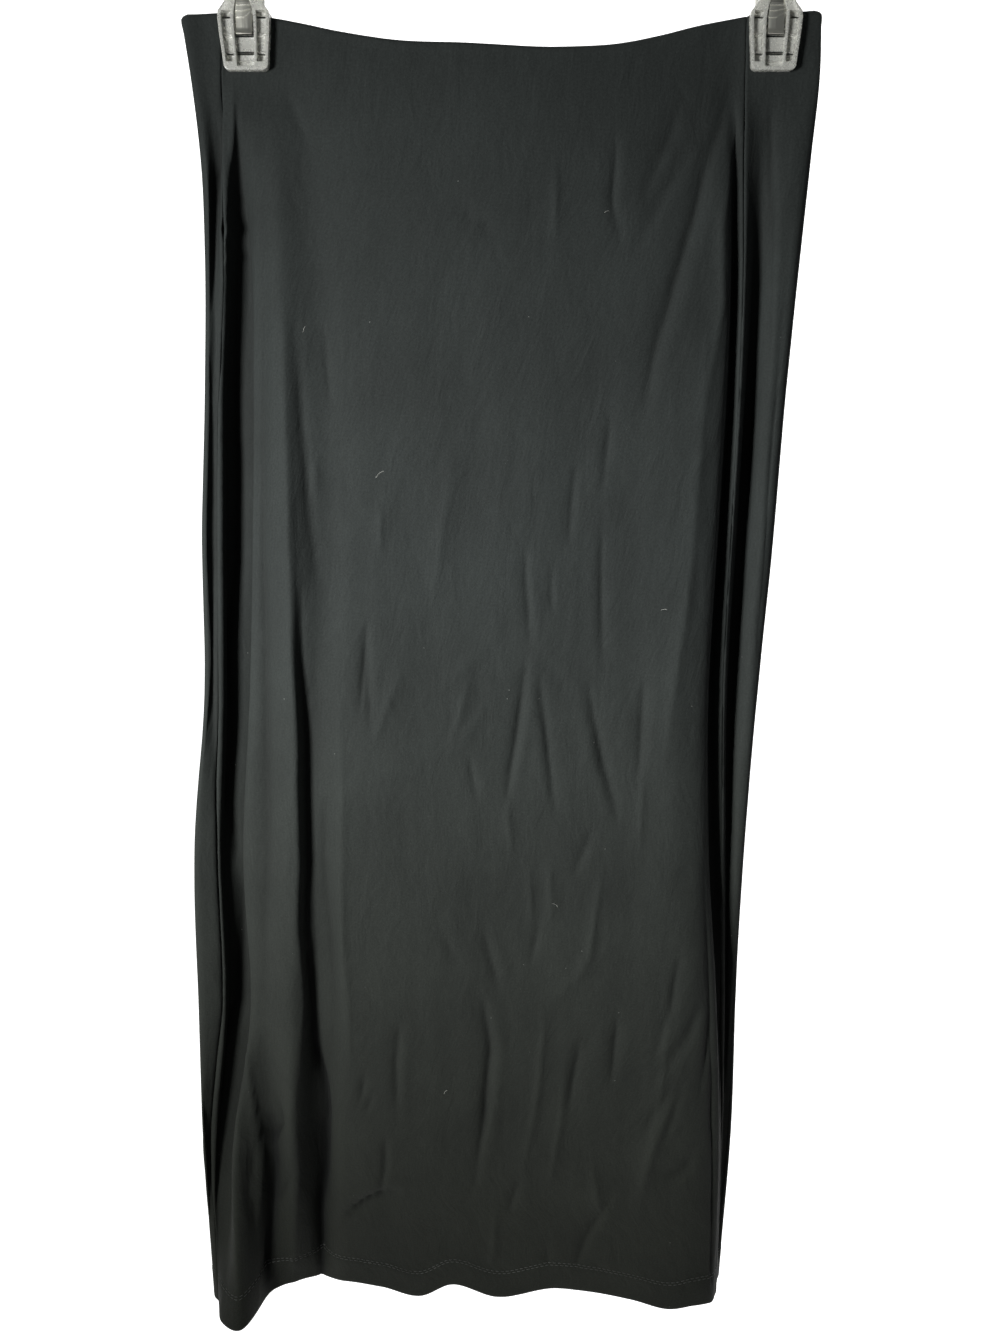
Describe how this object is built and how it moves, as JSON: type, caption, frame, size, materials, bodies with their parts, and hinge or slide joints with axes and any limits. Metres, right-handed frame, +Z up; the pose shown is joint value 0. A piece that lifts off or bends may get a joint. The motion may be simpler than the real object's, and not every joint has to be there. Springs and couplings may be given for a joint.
{
  "type": "maxi skirt on clip hanger",
  "caption": "Black jersey pull-on maxi skirt, hung open at waist and hem from the pinch clips of a clear clip hanger.",
  "frame": {"origin": "inner top of the hanger's hook, where a rail carries it", "axes": "+Z up; the front of the skirt faces -Y; +X is to the viewer's right as seen from the front"},
  "size_m": [0.4342, 0.0831, 1.0616],
  "materials": {
    "jersey": "matte, faded black knit",
    "clear_plastic": "clear, glossy",
    "spring_steel": "bright",
    "chromed_wire": "polished"
  },
  "bodies": {
    "root": {"skirt_front": "jersey", "skirt_back": "jersey", "hanger_bar": "clear_plastic", "hanger_hook": "chromed_wire", "clip_left_front_jaw": "clear_plastic", "clip_left_back_jaw": "clear_plastic", "clip_left_spring": "spring_steel", "clip_right_front_jaw": "clear_plastic", "clip_right_back_jaw": "clear_plastic", "clip_right_spring": "spring_steel"}
  },
  "joints": []
}
